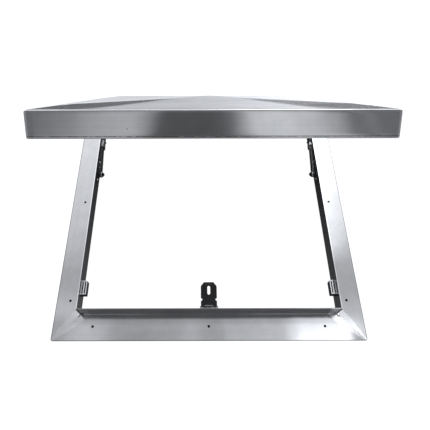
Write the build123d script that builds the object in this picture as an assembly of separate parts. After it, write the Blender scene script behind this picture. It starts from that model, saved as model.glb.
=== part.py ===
from build123d import *
import os
from math import atan2, cos, degrees, hypot, radians, sin

# A square sheet-steel deck hatch, in millimetres. The origin is the centre of the opening on the
# flange's underside, +X is to the right, +Y runs back to the hinges and +Z is up.
# The lid stands open at OPEN_ANGLE. Every lid piece is drawn closed and then turned open.

os.makedirs("parts", exist_ok=True)

# Frame: a wide flange with an upstand round the opening
FLANGE_SIDE = 720.0
FLANGE_WIDTH = 60.0
FRAME_SHEET = 2.0
UPSTAND_HEIGHT = 45.0
FLANGE_TIP_RADIUS = 4.0
UPSTAND_EDGE_RADIUS = 1.2
BEND_RADIUS = 2.6
FOOT_RADIUS = 0.8
HOLE_RADIUS = 2.4
HOLE_FROM_EDGE = 32.0
HOLE_FROM_CORNER = 92.0
WELD_RADIUS = 2.6

# Lid: a shallow pan with a low four-sided point
LID_SIDE = 610.0
LID_SHEET = 1.5
SKIRT_DEPTH = 47.0
SKIRT_GAP = 3.0
LID_RISE = 13.5
LID_CORNER_RADIUS = 2.5
LID_FOLD_RADIUS = 2.4
HEM_EDGE_RADIUS = 1.0
HEM_HEIGHT = 8.0
OPEN_ANGLE = 45.0

# Seal, ribs and staple under the lid
SEAL_WIDTH = 5.1
SEAL_GAP = 0.3
SEAL_OVERHANG = 2.4
RIB_X = 140.0
RIB_LENGTH = 540.0
RIB_LOW = 36.0
RIB_FLANGE = 14.0
STAPLE_RADIUS = 2.0
STAPLE_PITCH = 12.5
STAPLE_LOW = 17.0
STAPLE_BASE = (34.0, 44.0)
STAPLE_BASE_LOW = 48.5

# Latch plate at the front
LATCH_THICKNESS = 2.5
LATCH_LEG_LOW = 12.0
LATCH_HALF_WIDTH = 18.3
LATCH_FOOT_HALF = 20.5
LATCH_FOOT_LENGTH = 4.5
LATCH_REACH = 60.2
LATCH_TIP_HALF = 11.0
LATCH_TIP_LENGTH = 9.4
LATCH_NOTCH_FROM_TIP = 40.4
LATCH_NOTCH_SIZE = (3.3, 7.0)
SLOT_SIZE = (6.6, 21.0)
SLOT_FROM_TIP = 18.8
LATCH_BEND_RADIUS = 1.5

# Magnetic side catches
CATCH_WIDTH = 12.0
CATCH_LENGTH = 33.0
CATCH_TOP = 31.0
CATCH_HEIGHT = 19.0
CATCH_WALL = 2.0
CATCH_EDGE_RADIUS = 1.0
CATCH_Y = -244.5
MAGNET_WIDTH = 2.0
MAGNET_HEIGHT = 10.0
POLE_THICKNESS = 1.0
MAGNET_BELOW_POLES = 0.3
KEEPER_GAP = 0.4
KEEPER_THICKNESS = 1.5
KEEPER_WEB_X = 292.8
KEEPER_SIDE_GAP = 1.0

# Hinges at the back
HINGE_X = 190.0
HINGE_LENGTH = 60.0
HINGE_AXIS_OUT = 6.0
HINGE_AXIS_UP = 6.0
KNUCKLE_RADIUS = 5.6
KNUCKLE_GAP = 0.3
KNUCKLE_COUNT = 5
PIN_RADIUS = 3.0
RUNNING_CLEARANCE = 0.05
LEAF_THICKNESS = 2.5
LEAF_REACH = 37.0
LEAF_NOTCH = 7.6
LEAF_CORNER_RADIUS = 3.0
PIN_OVERHANG = 1.0
HINGE_RIVETS = ((-20.0, 26.0), (0.0, 18.0), (20.0, 26.0))
RIVET_RADIUS = 2.0
RIVET_HEAD_RADIUS = 3.8
RIVET_HEAD_HEIGHT = 1.5
RIVET_TAIL_RADIUS = 3.2
SMALL_RIVET_HEAD_RADIUS = 2.8

# Telescopic stays: distances across are from the upstand's inner face into the opening
STAY_PIVOT = (70.0, 30.0)
STAY_ROOM = 30.0
LID_PIN_FROM_HINGE = 80.0
LID_PIN_HEIGHT = 22.0
BASE_THICKNESS = 3.0
BASE_HALF_HEIGHT = 12.0
BASE_BACK = 48.0
BASE_FRONT = 13.0
BASE_CORNER_RADIUS = 4.0
BASE_RIVETS = (-16.0, 22.0, 39.0)
BOLT_RADIUS = 3.0
BUSH_RADIUS = 7.0
BUSH_END = 8.5
SIDE_CLEARANCE = 0.1
BAR_THICKNESS = 3.5
BAR_WIDTH = 16.0
SLIDE_CLEARANCE = 0.3
WASHER_RADIUS = 8.0
WASHER_THICKNESS = 1.0
NUT_FLAT = 10.0
NUT_HEIGHT = 3.8
NUT_DOME_RADIUS = 4.6
NUT_DOME_HEIGHT = 2.76
SLEEVE_WEB = 2.2
SLEEVE_FLANGE = 1.6
SLEEVE_CORNER_RADIUS = 1.0
SLEEVE_LOW_END = 72.0
SLEEVE_BEHIND_PIN = 11.0
BAR_OVERLAP = 54.0
GUIDE_FROM_END = 9.0
GUIDE_RADIUS = 3.0
PIN_HEAD_RADIUS = 5.0
SPRING_SIZE = (50.0, 9.0, 0.8)
SPRING_FROM_END = 22.0
SPRING_LIP = 4.0
SPRING_RIVETS = (25.0, 44.0)
SPRING_RIVET_RADIUS = 1.5
SPRING_RIVET_HEAD_RADIUS = 3.0
EAR_CLEARANCE = 1.1
EAR_THICKNESS = 2.4
EAR_GAP = 0.4
EAR_HALF_WIDTH = 12.0
EAR_FLANGE = 20.0

# Worked out from the driving dimensions
HALF_FLANGE = FLANGE_SIDE / 2
UPSTAND_OUT = HALF_FLANGE - FLANGE_WIDTH
UPSTAND_IN = UPSTAND_OUT - FRAME_SHEET
UPSTAND_TOP = FRAME_SHEET + UPSTAND_HEIGHT
HALF_LID = LID_SIDE / 2
LID_IN = HALF_LID - LID_SHEET
SKIRT_LOW = FRAME_SHEET + SKIRT_GAP
FOLD_Z = SKIRT_LOW + SKIRT_DEPTH
LID_UNDER = FOLD_Z - LID_SHEET
AXIS_Y = HALF_LID + HINGE_AXIS_OUT
AXIS_Z = FRAME_SHEET + HINGE_AXIS_UP
LATCH_TIP_Y = -UPSTAND_IN + LATCH_REACH
SLOT_Y = LATCH_TIP_Y - SLOT_FROM_TIP
LID_PIN_Y = AXIS_Y - LID_PIN_FROM_HINGE


def opened(y, z):
    """Where a point of the closed lid stands when the lid is open."""
    c, s = cos(radians(OPEN_ANGLE)), sin(radians(OPEN_ANGLE))
    dy, dz = y - AXIS_Y, z - AXIS_Z
    return AXIS_Y + dy * c + dz * s, AXIS_Z - dy * s + dz * c


def reach(point):
    """Distance and elevation of a point seen from the stay's lower pivot."""
    dy, dz = point[0] - STAY_PIVOT[0], point[1] - STAY_PIVOT[1]
    return hypot(dy, dz), degrees(atan2(dz, dy))


STAY_OPEN, STAY_OPEN_ANGLE = reach(opened(LID_PIN_Y, LID_PIN_HEIGHT))
STAY_CLOSED, STAY_CLOSED_ANGLE = reach((LID_PIN_Y, LID_PIN_HEIGHT))
STROKE = STAY_OPEN - STAY_CLOSED


def block(x, y, z):
    """A box from its ranges along the three axes."""
    size = (x[1] - x[0], y[1] - y[0], z[1] - z[0])
    middle = (sum(x) / 2, sum(y) / 2, sum(z) / 2)
    return Pos(*middle) * Box(*size)


def rod_x(radius, x, y, z):
    """A round bar along X between the two ends of x."""
    return Pos(sum(x) / 2, y, z) * Rot(0, 90, 0) * Cylinder(radius, abs(x[1] - x[0]))


def rod_y(radius, y, x, z):
    """A round bar along Y between the two ends of y."""
    return Pos(x, sum(y) / 2, z) * Rot(90, 0, 0) * Cylinder(radius, abs(y[1] - y[0]))


def rod_z(radius, z, x, y):
    """A round bar along Z between the two ends of z."""
    return Pos(x, y, sum(z) / 2) * Cylinder(radius, abs(z[1] - z[0]))


def domed_head(radius, height):
    """A low rivet head on the XY plane, rising along +Z."""
    ball = (radius**2 + height**2) / (2 * height)
    return Pos(0, 0, height - ball) * Sphere(ball) & block((-radius, radius), (-radius, radius), (0, height))


def open_up(shape):
    """Turn a lid piece from closed to open about the hinge axis."""
    return shape.rotate(Axis((0, AXIS_Y, AXIS_Z), (1, 0, 0)), -OPEN_ANGLE)


def stay_turn(shape):
    """Turn a stay piece, drawn level behind its pivot, to its open slope."""
    return shape.rotate(Axis((0, STAY_PIVOT[0], STAY_PIVOT[1]), (1, 0, 0)), STAY_OPEN_ANGLE)


def save(node, *solids):
    """Write one node, of one solid or several."""
    shape = solids[0] if len(solids) == 1 else Compound(children=list(solids))
    export_step(shape, f"parts/{node}.step")


def save_pair(name, *solids):
    """Write a left-hand piece and its mirror image; name has a gap for the side."""
    save(name.format("left"), *solids)
    save(name.format("right"), *[mirror(s, about=Plane.YZ) for s in solids])


# ---- frame ----

def frame_side():
    """The front side: a folded angle, mitred at both ends, with three fixing holes."""
    flange = block((-HALF_FLANGE, HALF_FLANGE), (-HALF_FLANGE, -UPSTAND_IN), (0, FRAME_SHEET))
    wall = block((-HALF_FLANGE, HALF_FLANGE), (-UPSTAND_OUT, -UPSTAND_IN), (0, UPSTAND_TOP))
    angle = flange + wall
    bend = angle.edges().filter_by(Axis.X).sort_by_distance((0, -UPSTAND_IN, 0))[0]
    angle = fillet(bend, BEND_RADIUS)
    foot = angle.edges().filter_by(Axis.X).sort_by_distance((0, -UPSTAND_OUT, FRAME_SHEET))[0]
    angle = fillet(foot, FOOT_RADIUS)
    inner = UPSTAND_IN - FRAME_SHEET
    outline = [(-HALF_FLANGE, -HALF_FLANGE), (HALF_FLANGE, -HALF_FLANGE), (inner, -inner), (-inner, -inner)]
    wedge = extrude(make_face(Polyline(*outline, close=True)), UPSTAND_TOP)
    plate = Pos(0, 0, FRAME_SHEET / 2) * Box(FLANGE_SIDE, FLANGE_SIDE, FRAME_SHEET)
    plate = fillet(plate.edges().filter_by(Axis.Z), FLANGE_TIP_RADIUS)
    core = block((-UPSTAND_OUT, UPSTAND_OUT), (-UPSTAND_OUT, UPSTAND_OUT), (0, UPSTAND_TOP))
    core = fillet(core.edges().filter_by(Axis.Z), UPSTAND_EDGE_RADIUS)
    side = angle & wedge & (plate + core + foot_ring())
    for x in (HOLE_FROM_CORNER - HALF_FLANGE, 0, HALF_FLANGE - HOLE_FROM_CORNER):
        side -= rod_z(HOLE_RADIUS, (-1, FRAME_SHEET + 1), x, HOLE_FROM_EDGE - HALF_FLANGE)
    return side


def foot_ring():
    """The room that the fillet at the upstand's foot takes, all round."""
    width = 2 * (UPSTAND_OUT + FOOT_RADIUS)
    return Pos(0, 0, FRAME_SHEET + FOOT_RADIUS / 2) * Box(width, width, FOOT_RADIUS)


def frame_sides():
    """The four equal sides, by name."""
    front = frame_side()
    turns = {"front": 0, "right": 90, "rear": 180, "left": 270}
    return {name: Rot(0, 0, turn) * front for name, turn in turns.items()}


def weld_beads(sides):
    """A small weld bead on the flange at each corner of the upstand's foot."""
    room = block((-UPSTAND_OUT, UPSTAND_OUT), (-UPSTAND_OUT, UPSTAND_OUT), (0, UPSTAND_TOP))
    beads = []
    for x in (-UPSTAND_OUT, UPSTAND_OUT):
        for y in (-UPSTAND_OUT, UPSTAND_OUT):
            bead = Pos(x, y, FRAME_SHEET) * Sphere(WELD_RADIUS) - room
            for side in sides.values():
                bead -= side
            beads.append(bead.solids().sort_by(Axis.Z)[-1])
    return beads


# ---- lid ----

def low_point(half, base_z, rise):
    """A four-sided point over a square of the given half width."""
    corners = [(-half, -half, base_z), (half, -half, base_z), (half, half, base_z), (-half, half, base_z)]
    tip = (0, 0, base_z + rise)
    faces = [Face(Wire.make_polygon(corners, close=True))]
    for i in range(4):
        faces.append(Face(Wire.make_polygon([corners[i], corners[(i + 1) % 4], tip], close=True)))
    return Solid(Shell(faces))


def lid_room():
    """The space inside the closed lid, from the skirt's lower edge to the sheet."""
    square = (-LID_IN, LID_IN)
    return block(square, square, (SKIRT_LOW, LID_UNDER)) + low_point(LID_IN, LID_UNDER, LID_RISE)


def lid_pan():
    """The folded pan: skirt, four gently sloping facets and a flattened hem inside the skirt's edge."""
    square = (-HALF_LID, HALF_LID)
    body = block(square, square, (SKIRT_LOW, FOLD_Z))
    body = fillet(body.edges().filter_by(Axis.Z), LID_CORNER_RADIUS)
    body = fillet(body.faces().sort_by(Axis.Z)[0].edges(), HEM_EDGE_RADIUS)
    body = fillet(body.faces().sort_by(Axis.Z)[-1].edges(), LID_FOLD_RADIUS)
    crown = low_point(HALF_LID - LID_FOLD_RADIUS, FOLD_Z, LID_RISE)
    hem_in = LID_IN - LID_SHEET
    hem_square = (-hem_in, hem_in)
    room = lid_room() - block(square, square, (SKIRT_LOW, SKIRT_LOW + HEM_HEIGHT))
    room += block(hem_square, hem_square, (SKIRT_LOW - 1, SKIRT_LOW + HEM_HEIGHT))
    return body + crown - room


def lid_quarters(pan):
    """The pan parted along its creases and corner welds, so that no part of it is hollow."""
    tip, far = (0, 0), LID_SIDE
    wedge = Pos(0, 0, SKIRT_LOW) * extrude(make_face(Polyline(tip, (far, -far), (-far, -far), close=True)), LID_SIDE)
    return [pan & Rot(0, 0, turn) * wedge for turn in (0, 90, 180, 270)]


def lid_seal():
    """A rubber strip under the lid, which meets the upstand's top edge."""
    outer = UPSTAND_OUT + SEAL_OVERHANG
    inner = outer - SEAL_WIDTH
    z = (UPSTAND_TOP + SEAL_GAP, LID_UNDER)
    return block((-outer, outer), (-outer, outer), z) - block((-inner, inner), (-inner, inner), z)


def lid_rib():
    """A stiffening angle under the lid, its top edge cut to the lid's slope."""
    run = (-RIB_LENGTH / 2, RIB_LENGTH / 2)
    web = block((-RIB_X, -RIB_X + LID_SHEET), run, (RIB_LOW, FOLD_Z + LID_RISE))
    foot = block((-RIB_X, -RIB_X + RIB_FLANGE), run, (RIB_LOW, RIB_LOW + LID_SHEET))
    return (web + foot) & lid_room()


def lid_staple():
    """A welded U of round bar that drops through the latch plate's slot for a padlock."""
    half = STAPLE_PITCH / 2
    top = STAPLE_BASE_LOW + STAPLE_RADIUS
    turn_z = STAPLE_LOW + STAPLE_RADIUS + half
    path = Polyline((0, SLOT_Y - half, top), (0, SLOT_Y - half, turn_z))
    path += ThreePointArc((0, SLOT_Y - half, turn_z), (0, SLOT_Y, turn_z - half), (0, SLOT_Y + half, turn_z))
    path += Line((0, SLOT_Y + half, turn_z), (0, SLOT_Y + half, top))
    ring = Plane(origin=(0, SLOT_Y - half, top), z_dir=(0, 0, -1)) * Circle(STAPLE_RADIUS)
    loop = sweep(ring, path=path)
    x = (-STAPLE_BASE[0] / 2, STAPLE_BASE[0] / 2)
    y = (SLOT_Y - STAPLE_BASE[1] / 2, SLOT_Y + STAPLE_BASE[1] / 2)
    base = block(x, y, (STAPLE_BASE_LOW, FOLD_Z + LID_RISE)) & lid_room()
    return loop, base


def catch_keeper():
    """A steel strike on the lid: a flange under the lid, a web and a foot over the magnet."""
    y = (CATCH_Y - CATCH_LENGTH / 2 + CATCH_WALL, CATCH_Y + CATCH_LENGTH / 2 - CATCH_WALL)
    foot_low = CATCH_TOP + KEEPER_GAP
    web_x = (-KEEPER_WEB_X, -KEEPER_WEB_X + KEEPER_THICKNESS)
    foot_x = (-UPSTAND_IN + KEEPER_SIDE_GAP, -UPSTAND_IN + CATCH_WIDTH)
    top_x = (-KEEPER_WEB_X, -KEEPER_WEB_X + CATCH_WIDTH)
    keeper = block(web_x, y, (foot_low, FOLD_Z))
    keeper += block(foot_x, y, (foot_low, foot_low + KEEPER_THICKNESS))
    keeper += block(top_x, y, (LID_UNDER - KEEPER_THICKNESS, FOLD_Z))
    return keeper & lid_room()


def stay_ear():
    """The stay's bracket on the lid: an ear with a round end, and a flange under the lid."""
    out = UPSTAND_IN - EAR_CLEARANCE
    x = (-out, -out + EAR_THICKNESS)
    y = (LID_PIN_Y - EAR_HALF_WIDTH, LID_PIN_Y + EAR_HALF_WIDTH)
    ear = block(x, y, (LID_PIN_HEIGHT, FOLD_Z))
    ear += rod_x(EAR_HALF_WIDTH, x, LID_PIN_Y, LID_PIN_HEIGHT)
    ear += block((-out, -out + EAR_FLANGE), y, (LID_UNDER - EAR_THICKNESS, FOLD_Z))
    return ear & lid_room()


# ---- latch plate ----

def latch_plate():
    """A bent plate: a leg on the upstand's inner face and a notched, slotted tongue."""
    tip = LATCH_TIP_Y
    shoulder = tip - LATCH_TIP_LENGTH
    foot = -UPSTAND_IN + LATCH_FOOT_LENGTH
    depth, length = LATCH_NOTCH_SIZE
    notch = tip - LATCH_NOTCH_FROM_TIP
    right = [(LATCH_FOOT_HALF, -UPSTAND_IN), (LATCH_FOOT_HALF, foot), (LATCH_HALF_WIDTH, foot),
             (LATCH_HALF_WIDTH, notch - length / 2), (LATCH_HALF_WIDTH - depth, notch - length / 4),
             (LATCH_HALF_WIDTH - depth, notch + length / 4), (LATCH_HALF_WIDTH, notch + length / 2),
             (LATCH_HALF_WIDTH, shoulder), (LATCH_TIP_HALF, tip)]
    left = [(-x, y) for x, y in reversed(right)]
    low = UPSTAND_TOP - LATCH_THICKNESS
    tongue = Pos(0, 0, low) * extrude(make_face(Polyline(*right, *left, close=True)), LATCH_THICKNESS)
    slot = SlotOverall(SLOT_SIZE[1], SLOT_SIZE[0], rotation=90)
    tongue -= Pos(0, SLOT_Y, low - 1) * extrude(slot, LATCH_THICKNESS + 2)
    leg = block((-LATCH_FOOT_HALF, LATCH_FOOT_HALF), (-UPSTAND_IN, -UPSTAND_IN + LATCH_THICKNESS),
                (LATCH_LEG_LOW, UPSTAND_TOP))
    plate = tongue + leg
    outer_bend = plate.edges().filter_by(Axis.X).sort_by_distance((0, -UPSTAND_IN, UPSTAND_TOP))[0]
    return fillet(outer_bend, LATCH_BEND_RADIUS)


# ---- magnetic catches ----

def catch_pieces():
    """An open-topped case on each side upstand, with a magnet between two pole plates."""
    x = (-UPSTAND_IN, -UPSTAND_IN + CATCH_WIDTH)
    y = (CATCH_Y - CATCH_LENGTH / 2, CATCH_Y + CATCH_LENGTH / 2)
    floor = CATCH_TOP - CATCH_HEIGHT
    case = block(x, y, (floor, CATCH_TOP))
    upright = case.edges().filter_by(Axis.Z).group_by(Axis.X)[-1]
    case = fillet(upright, CATCH_EDGE_RADIUS)
    inner_y = (y[0] + CATCH_WALL, y[1] - CATCH_WALL)
    case -= block((x[0] + CATCH_WALL, x[1] - CATCH_WALL), inner_y, (floor + CATCH_WALL, CATCH_TOP + 1))
    middle = sum(x) / 2
    magnet_low = CATCH_TOP - MAGNET_HEIGHT
    half = MAGNET_WIDTH / 2
    magnet = block((middle - half, middle + half), inner_y, (magnet_low, CATCH_TOP - MAGNET_BELOW_POLES))
    poles = [block((middle - half - POLE_THICKNESS, middle - half), inner_y, (magnet_low, CATCH_TOP)),
             block((middle + half, middle + half + POLE_THICKNESS), inner_y, (magnet_low, CATCH_TOP))]
    rivet_z = (floor + CATCH_WALL + magnet_low) / 2
    rivets = []
    for rivet_y in (CATCH_Y - CATCH_LENGTH / 4, CATCH_Y + CATCH_LENGTH / 4):
        shank = rod_x(RIVET_RADIUS, (x[0] - FRAME_SHEET, x[0] + CATCH_WALL), rivet_y, rivet_z)
        tail = Pos(x[0] + CATCH_WALL, rivet_y, rivet_z) * Rot(0, 90, 0)
        head = Pos(-UPSTAND_OUT, rivet_y, rivet_z) * Rot(0, -90, 0)
        tail *= domed_head(SMALL_RIVET_HEAD_RADIUS, RIVET_HEAD_HEIGHT)
        head *= domed_head(RIVET_TAIL_RADIUS, RIVET_HEAD_HEIGHT)
        rivet = shank + tail + head
        rivets.append(rivet)
    return case, magnet, poles, rivets


# ---- hinges ----

def knuckle_spans(lid):
    """Stretches along the hinge that one leaf's knuckles take, the lid's or the frame's."""
    pitch = HINGE_LENGTH / KNUCKLE_COUNT
    spans = []
    for i in range(KNUCKLE_COUNT):
        if (i % 2 == 1) == lid:
            start = -HINGE_X - HINGE_LENGTH / 2 + i * pitch
            spans.append((start + KNUCKLE_GAP / 2, start + pitch - KNUCKLE_GAP / 2))
    return spans


def barrel_room(spans, grow):
    """The round room that the other leaf's knuckles turn in."""
    room = None
    for span in spans:
        piece = rod_x(LEAF_NOTCH, (span[0] - grow, span[1] + grow), AXIS_Y, AXIS_Z)
        room = piece if room is None else room + piece
    return room


def knuckles(leaf, lid, bore):
    """Add one leaf's knuckles, clear the other's room and bore them for the pin."""
    leaf -= barrel_room(knuckle_spans(not lid), KNUCKLE_GAP)
    for span in knuckle_spans(lid):
        leaf += rod_x(KNUCKLE_RADIUS, span, AXIS_Y, AXIS_Z)
    reach_x = (-HINGE_X - HINGE_LENGTH, -HINGE_X + HINGE_LENGTH)
    return leaf - rod_x(bore, reach_x, AXIS_Y, AXIS_Z)


def hinge_pieces():
    """A butt hinge: a leaf flat on the flange, a leaf up the lid's skirt, a pin and rivets."""
    x = (-HINGE_X - HINGE_LENGTH / 2, -HINGE_X + HINGE_LENGTH / 2)
    flat = block(x, (AXIS_Y, AXIS_Y + LEAF_REACH), (FRAME_SHEET, FRAME_SHEET + LEAF_THICKNESS))
    corners = flat.edges().filter_by(Axis.Z).group_by(Axis.Y)[-1]
    flat = fillet(corners, LEAF_CORNER_RADIUS)
    upright = block(x, (HALF_LID, HALF_LID + LEAF_THICKNESS), (AXIS_Z, AXIS_Z + LEAF_REACH))
    corners = upright.edges().filter_by(Axis.Y).group_by(Axis.Z)[-1]
    upright = fillet(corners, LEAF_CORNER_RADIUS)
    frame_leaf = knuckles(flat, False, PIN_RADIUS)
    lid_leaf = knuckles(upright, True, PIN_RADIUS + RUNNING_CLEARANCE)
    pin = rod_x(PIN_RADIUS, (x[0] - PIN_OVERHANG, x[1] + PIN_OVERHANG), AXIS_Y, AXIS_Z)
    low_rivets, lid_rivets = [], []
    for along, out in HINGE_RIVETS:
        rivet_x = -HINGE_X + along
        rivet = rod_z(RIVET_RADIUS, (0, FRAME_SHEET + LEAF_THICKNESS), rivet_x, AXIS_Y + out)
        head = Pos(rivet_x, AXIS_Y + out, FRAME_SHEET + LEAF_THICKNESS)
        low_rivets.append(rivet + head * domed_head(RIVET_HEAD_RADIUS, RIVET_HEAD_HEIGHT))
        rivet = rod_y(RIVET_RADIUS, (LID_IN, HALF_LID + LEAF_THICKNESS), rivet_x, AXIS_Z + out)
        head = Pos(rivet_x, HALF_LID + LEAF_THICKNESS, AXIS_Z + out) * Rot(-90, 0, 0)
        lid_rivets.append(rivet + head * domed_head(RIVET_HEAD_RADIUS, RIVET_HEAD_HEIGHT))
    return frame_leaf, lid_leaf, pin, low_rivets, lid_rivets


def drill(node_shape, rivets):
    """Cut each rivet's own room out of a sheet."""
    for rivet in rivets:
        node_shape -= rivet
    return node_shape


# ---- stays ----

def across(start, end):
    """A range along X, from two distances off the left upstand's inner face."""
    return (-UPSTAND_IN + start, -UPSTAND_IN + end)


def behind(distance):
    """A place along Y, from a distance behind the stay's lower pivot."""
    return STAY_PIVOT[0] + distance


def stay_base():
    """The plate riveted to the upstand, round at its front end, with the bush, bolt, washer and nut."""
    y, z = STAY_PIVOT
    top, low = z + BASE_HALF_HEIGHT, z - BASE_HALF_HEIGHT
    plate = block(across(0, BASE_THICKNESS), (y - BASE_FRONT, behind(BASE_BACK)), (low, top))
    plate += rod_x(BASE_HALF_HEIGHT, across(0, BASE_THICKNESS), y - BASE_FRONT, z)
    back = plate.edges().filter_by(Axis.X).group_by(Axis.Y)[-1]
    plate = fillet(back, BASE_CORNER_RADIUS)
    bush = rod_x(BUSH_RADIUS, across(BASE_THICKNESS, BUSH_END), y, z)
    bar_end = BUSH_END + 2 * SIDE_CLEARANCE + BAR_THICKNESS
    washer = rod_x(WASHER_RADIUS, across(bar_end, bar_end + WASHER_THICKNESS), y, z)
    nut_start = bar_end + WASHER_THICKNESS
    bolt = rod_x(BOLT_RADIUS, across(0, nut_start + NUT_HEIGHT), y, z)
    hexagon = Plane(origin=(-UPSTAND_IN + nut_start, y, z), z_dir=(1, 0, 0))
    nut = extrude(hexagon * RegularPolygon(NUT_FLAT / 2, 6, major_radius=False), NUT_HEIGHT)
    dome = Pos(-UPSTAND_IN + nut_start + NUT_HEIGHT, y, z) * Rot(0, 90, 0)
    nut += dome * domed_head(NUT_DOME_RADIUS, NUT_DOME_HEIGHT)
    rivets = []
    for along in BASE_RIVETS:
        shank = rod_x(RIVET_RADIUS, across(-FRAME_SHEET, BASE_THICKNESS), behind(along), z)
        inner = Pos(-UPSTAND_IN + BASE_THICKNESS, behind(along), z) * Rot(0, 90, 0)
        outer = Pos(-UPSTAND_OUT, behind(along), z) * Rot(0, -90, 0)
        head = inner * domed_head(RIVET_HEAD_RADIUS, RIVET_HEAD_HEIGHT)
        tail = outer * domed_head(RIVET_TAIL_RADIUS, RIVET_HEAD_HEIGHT)
        rivets.append(shank + head + tail)
    return plate - bolt, bush - bolt, washer - bolt, nut - bolt, bolt, rivets


def stay_bar():
    """The flat lower bar, slotted for the sleeve's guide pin."""
    y, z = STAY_PIVOT
    start = BUSH_END + SIDE_CLEARANCE
    x = across(start, start + BAR_THICKNESS)
    half = BAR_WIDTH / 2
    far = behind(SLEEVE_LOW_END + BAR_OVERLAP)
    bar = block(x, (y, far - half), (z - half, z + half))
    bar += rod_x(half, x, y, z)
    bar += rod_x(half, x, far - half, z)
    bar -= rod_x(BOLT_RADIUS + RUNNING_CLEARANCE, across(0, STAY_ROOM), y, z)
    slot_half = GUIDE_RADIUS + SLIDE_CLEARANCE
    guide = SLEEVE_LOW_END + GUIDE_FROM_END
    run = (behind(guide - STROKE), behind(guide))
    bar -= block(across(0, STAY_ROOM), run, (z - slot_half, z + slot_half))
    for end in run:
        bar -= rod_x(slot_half, across(0, STAY_ROOM), end, z)
    return bar


def stay_sleeve():
    """The upper channel that slides on the bar, with a boss out to the lid's bracket."""
    z = STAY_PIVOT[1]
    web_start = BUSH_END + 2 * SIDE_CLEARANCE + BAR_THICKNESS + SLIDE_CLEARANCE
    web_x = across(web_start, web_start + SLEEVE_WEB)
    rail_x = across(BUSH_END + SIDE_CLEARANCE, web_start + SLEEVE_WEB)
    inside = BAR_WIDTH / 2 + SLIDE_CLEARANCE
    half = inside + SLEEVE_FLANGE
    low, pin = behind(SLEEVE_LOW_END), behind(STAY_OPEN)
    high = pin + SLEEVE_BEHIND_PIN
    sleeve = block(web_x, (low + half, high), (z - half, z + half)) + rod_x(half, web_x, low + half, z)
    for side in (-1, 1):
        rail_z = sorted((z + side * inside, z + side * half))
        sleeve += block(rail_x, (low + half, high), rail_z)
    back = sleeve.edges().filter_by(Axis.X).group_by(Axis.Y)[-1]
    sleeve = fillet([back[0], back[-1]], SLEEVE_CORNER_RADIUS)
    ear_face = EAR_CLEARANCE + EAR_THICKNESS + EAR_GAP
    boss = rod_x(BUSH_RADIUS, across(ear_face, web_start), pin, z)
    return sleeve, boss, web_start


def headed_pin(radius, head_radius, x, y, z):
    """A pin along X with a domed head at its inner end."""
    head = Pos(x[1], y, z) * Rot(0, 90, 0)
    return rod_x(radius, x, y, z) + head * domed_head(head_radius, RIVET_HEAD_HEIGHT)


def stay_pieces():
    """Both telescopic stays, drawn level on the left and then turned to their slope."""
    z = STAY_PIVOT[1]
    sleeve, boss, web_start = stay_sleeve()
    web_end = web_start + SLEEVE_WEB
    ear_face = EAR_CLEARANCE + EAR_THICKNESS + EAR_GAP
    guide_x = across(web_start - BAR_THICKNESS, web_end)
    guide = headed_pin(GUIDE_RADIUS, PIN_HEAD_RADIUS, guide_x, behind(SLEEVE_LOW_END + GUIDE_FROM_END), z)
    upper = headed_pin(BOLT_RADIUS, PIN_HEAD_RADIUS, across(ear_face, web_end), behind(STAY_OPEN), z)
    length, width, thickness = SPRING_SIZE
    start = behind(SLEEVE_LOW_END + SPRING_FROM_END)
    spring = block(across(web_end, web_end + thickness), (start, start + length), (z - width / 2, z + width / 2))
    lip = block(across(web_end, web_end + SPRING_LIP), (start, start + thickness), (z - width / 2, z + width / 2))
    spring += lip
    spring_rivets = []
    for along in SPRING_RIVETS:
        x = across(web_end - SLEEVE_WEB / 2, web_end + thickness)
        spring_rivets.append(headed_pin(SPRING_RIVET_RADIUS, SPRING_RIVET_HEAD_RADIUS, x, start + along, z))
    spring = drill(spring, spring_rivets)
    sleeve = drill(sleeve, [guide, upper] + spring_rivets)
    save_pair("stay_{}_bar", stay_turn(stay_bar()))
    save_pair("stay_{}_sleeve", stay_turn(sleeve))
    save_pair("stay_{}_boss", stay_turn(boss - upper))
    save_pair("stay_{}_guide_pin", stay_turn(guide))
    save_pair("stay_{}_upper_pin", stay_turn(upper))
    save_pair("stay_{}_lock_spring", stay_turn(spring))
    save_pair("stay_{}_spring_rivets", *[stay_turn(r) for r in spring_rivets])


# ---- the whole hatch ----

def mirrored(solids):
    """The right-hand copies of left-hand solids."""
    return [mirror(s, about=Plane.YZ) for s in solids]


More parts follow.
